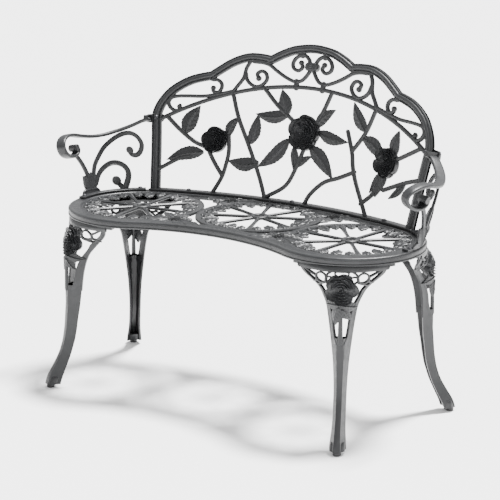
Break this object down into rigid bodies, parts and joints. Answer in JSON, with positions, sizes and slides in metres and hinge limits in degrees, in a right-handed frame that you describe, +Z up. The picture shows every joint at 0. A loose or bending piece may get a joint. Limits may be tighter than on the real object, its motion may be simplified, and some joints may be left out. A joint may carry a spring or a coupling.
{
  "type": "garden bench",
  "caption": "Cast metal two-seat garden bench: pierced medallion seat, arched rose-pattern back, scroll arms, pierced cabriole legs and screw-in levelling glides.",
  "frame": {"origin": "on the floor, under the middle of the bench's bounding box", "axes": "+Z up, the bench faces -Y, +X towards the right of someone looking at its front"},
  "size_m": [1.0428, 0.5708, 0.8165],
  "materials": {
    "casting": "satin powder coat",
    "fasteners": "black zinc",
    "glide_pad": "matte",
    "glide_screw": "zinc plated"
  },
  "bodies": {
    "bench": {"seat_casting": "casting", "back_casting": "casting", "arm_left": "casting", "arm_right": "casting", "leg_front_left": "casting", "leg_front_right": "casting", "leg_back_left": "casting", "leg_back_right": "casting", "leg_bolts": "fasteners", "leg_washers": "fasteners", "back_bolts": "fasteners", "back_washers": "fasteners", "back_nuts": "fasteners", "arm_seat_bolts": "fasteners", "arm_seat_washers": "fasteners", "arm_seat_nuts": "fasteners", "arm_back_bolts": "fasteners", "arm_back_washers": "fasteners", "arm_back_nuts": "fasteners"},
    "pad_front_left": {"glide_pad_front_left": "glide_pad"},
    "pad_front_right": {"glide_pad_front_right": "glide_pad"},
    "pad_back_left": {"glide_pad_back_left": "glide_pad"},
    "pad_back_right": {"glide_pad_back_right": "glide_pad"},
    "screw_front_left": {"glide_screw_front_left": "glide_screw"},
    "screw_front_right": {"glide_screw_front_right": "glide_screw"},
    "screw_back_left": {"glide_screw_back_left": "glide_screw"},
    "screw_back_right": {"glide_screw_back_right": "glide_screw"}
  },
  "joints": [
    {"name": "glide_front_left", "type": "slide", "parent": "bench", "child": "pad_front_left", "axis": [0, 0, -1], "range_m": [0, 0.012]},
    {"name": "screw_front_left", "type": "hinge", "parent": "pad_front_left", "child": "screw_front_left", "pos_m": [-0.41544, -0.27327, 0.02], "axis": [0, 0, -1], "range_deg": [0, 3460]},
    {"name": "glide_front_right", "type": "slide", "parent": "bench", "child": "pad_front_right", "axis": [0, 0, -1], "range_m": [0, 0.012]},
    {"name": "screw_front_right", "type": "hinge", "parent": "pad_front_right", "child": "screw_front_right", "pos_m": [0.41544, -0.27327, 0.02], "axis": [0, 0, -1], "range_deg": [0, 3460]},
    {"name": "glide_back_left", "type": "slide", "parent": "bench", "child": "pad_back_left", "axis": [0, 0, -1], "range_m": [0, 0.012]},
    {"name": "screw_back_left", "type": "hinge", "parent": "pad_back_left", "child": "screw_back_left", "pos_m": [-0.47647, 0.13504, 0.02], "axis": [0, 0, -1], "range_deg": [0, 3460]},
    {"name": "glide_back_right", "type": "slide", "parent": "bench", "child": "pad_back_right", "axis": [0, 0, -1], "range_m": [0, 0.012]},
    {"name": "screw_back_right", "type": "hinge", "parent": "pad_back_right", "child": "screw_back_right", "pos_m": [0.47647, 0.13504, 0.02], "axis": [0, 0, -1], "range_deg": [0, 3460]}
  ],
  "couplings": [
    {"joint": "screw_front_left", "follows": "glide_front_left", "rad_per_m": 5026.5},
    {"joint": "screw_front_right", "follows": "glide_front_right", "rad_per_m": 5026.5},
    {"joint": "screw_back_left", "follows": "glide_back_left", "rad_per_m": 5026.5},
    {"joint": "screw_back_right", "follows": "glide_back_right", "rad_per_m": 5026.5}
  ]
}
